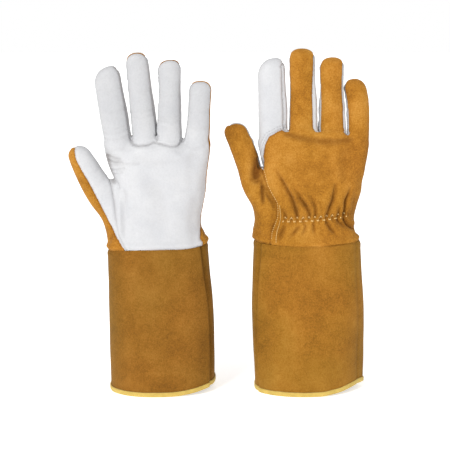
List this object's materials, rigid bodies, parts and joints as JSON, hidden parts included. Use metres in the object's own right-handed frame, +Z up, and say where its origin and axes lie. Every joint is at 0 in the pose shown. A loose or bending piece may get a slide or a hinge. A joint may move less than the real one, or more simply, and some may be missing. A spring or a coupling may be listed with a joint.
{
  "type": "welding gloves",
  "caption": "Leather welding gauntlets with suede backs, smooth palms, gathered wrists and long bound cuffs, standing on their hems.",
  "frame": {"origin": "on the surface that the hems stand on, under the middle of the pair's bounding box", "axes": "+Z up from the hems to the fingertips; +X across both hands, away from the thumbs; +Y through the thickness, so the left glove shows its palm to -Y and the right glove its back to -Y"},
  "size_m": [0.3176, 0.0848, 0.3605],
  "materials": {
    "tan_suede": "brushed suede split leather, mottled tan",
    "white_grain_leather": "smooth soft grain leather, off-white",
    "yellow_binding": "folded yellow binding tape, matt",
    "elastic_webbing": "woven elastic, off-white",
    "cream_thread": "twisted sewing thread, cream"
  },
  "bodies": {
    "left_cuff": {"left_cuff_palm_panel": "tan_suede", "left_cuff_back_panel": "tan_suede", "left_hem_binding": "yellow_binding"},
    "left_hand": {"left_palm_panel": "white_grain_leather", "left_back_panel": "tan_suede", "left_thumb_root_front": "white_grain_leather", "left_thumb_root_back": "tan_suede", "left_wrist_elastic": "elastic_webbing", "left_shirring_thread": "cream_thread"},
    "left_index": {"left_index_wall_inner": "white_grain_leather", "left_index_wrap": "white_grain_leather"},
    "left_middle": {"left_middle_wall_outer": "white_grain_leather", "left_middle_wall_inner": "white_grain_leather", "left_middle_front": "white_grain_leather", "left_middle_back": "tan_suede"},
    "left_ring": {"left_ring_wall_outer": "white_grain_leather", "left_ring_wall_inner": "white_grain_leather", "left_ring_front": "white_grain_leather", "left_ring_back": "tan_suede"},
    "left_little": {"left_little_wall_outer": "white_grain_leather", "left_little_front": "white_grain_leather", "left_little_back": "tan_suede"},
    "left_thumb": {"left_thumb_front": "white_grain_leather", "left_thumb_back": "tan_suede"},
    "right_cuff": {"right_cuff_palm_panel": "tan_suede", "right_cuff_back_panel": "tan_suede", "right_hem_binding": "yellow_binding"},
    "right_hand": {"right_palm_panel": "white_grain_leather", "right_back_panel": "tan_suede", "right_thumb_root_front": "white_grain_leather", "right_thumb_root_back": "tan_suede", "right_wrist_elastic": "elastic_webbing", "right_shirring_thread": "cream_thread"},
    "right_index": {"right_index_wall_inner": "white_grain_leather", "right_index_wrap": "white_grain_leather"},
    "right_middle": {"right_middle_wall_outer": "white_grain_leather", "right_middle_wall_inner": "white_grain_leather", "right_middle_front": "white_grain_leather", "right_middle_back": "tan_suede"},
    "right_ring": {"right_ring_wall_outer": "white_grain_leather", "right_ring_wall_inner": "white_grain_leather", "right_ring_front": "white_grain_leather", "right_ring_back": "tan_suede"},
    "right_little": {"right_little_wall_outer": "white_grain_leather", "right_little_front": "white_grain_leather", "right_little_back": "tan_suede"},
    "right_thumb": {"right_thumb_front": "white_grain_leather", "right_thumb_back": "tan_suede"}
  },
  "joints": [
    {"name": "pair_spacing", "type": "slide", "parent": "right_cuff", "child": "left_cuff", "axis": [-1, 0, 0], "range_m": [0, 0.15]},
    {"name": "left_wrist", "type": "hinge", "parent": "left_cuff", "child": "left_hand", "pos_m": [-0.06484, 0, 0.172], "axis": [1, 0, 0], "range_deg": [-40, 45]},
    {"name": "left_index_knuckle", "type": "hinge", "parent": "left_hand", "child": "left_index", "pos_m": [-0.10829, -0.006, 0.263], "axis": [0.989, 0, 0.1478], "range_deg": [-10, 80]},
    {"name": "left_middle_knuckle", "type": "hinge", "parent": "left_hand", "child": "left_middle", "pos_m": [-0.07909, -0.006, 0.263], "axis": [0.9932, 0, 0.1167], "range_deg": [-10, 80]},
    {"name": "left_ring_knuckle", "type": "hinge", "parent": "left_hand", "child": "left_ring", "pos_m": [-0.05239, -0.0055, 0.263], "axis": [1, 0, 0], "range_deg": [-10, 80]},
    {"name": "left_little_knuckle", "type": "hinge", "parent": "left_hand", "child": "left_little", "pos_m": [-0.02459, -0.005, 0.263], "axis": [0.9956, 0, -0.0941], "range_deg": [-10, 80]},
    {"name": "left_thumb_knuckle", "type": "hinge", "parent": "left_hand", "child": "left_thumb", "pos_m": [-0.12559, -0.0065, 0.205], "axis": [0.891, 0, 0.454], "range_deg": [-10, 50]},
    {"name": "right_wrist", "type": "hinge", "parent": "right_cuff", "child": "right_hand", "pos_m": [0.09166, 0, 0.172], "axis": [-1, 0, 0], "range_deg": [-40, 45]},
    {"name": "right_index_knuckle", "type": "hinge", "parent": "right_hand", "child": "right_index", "pos_m": [0.05631, 0.006, 0.263], "axis": [-1, 0, 0], "range_deg": [-10, 80]},
    {"name": "right_middle_knuckle", "type": "hinge", "parent": "right_hand", "child": "right_middle", "pos_m": [0.08821, 0.006, 0.263], "axis": [-1, 0, 0.0087], "range_deg": [-10, 80]},
    {"name": "right_ring_knuckle", "type": "hinge", "parent": "right_hand", "child": "right_ring", "pos_m": [0.11921, 0.0055, 0.263], "axis": [-1, 0, 0], "range_deg": [-10, 80]},
    {"name": "right_little_knuckle", "type": "hinge", "parent": "right_hand", "child": "right_little", "pos_m": [0.14711, 0.005, 0.263], "axis": [-0.9994, 0, -0.0349], "range_deg": [-10, 80]},
    {"name": "right_thumb_knuckle", "type": "hinge", "parent": "right_hand", "child": "right_thumb", "pos_m": [0.03731, 0.0065, 0.22], "axis": [-0.9426, 0, -0.3338], "range_deg": [-10, 50]}
  ]
}
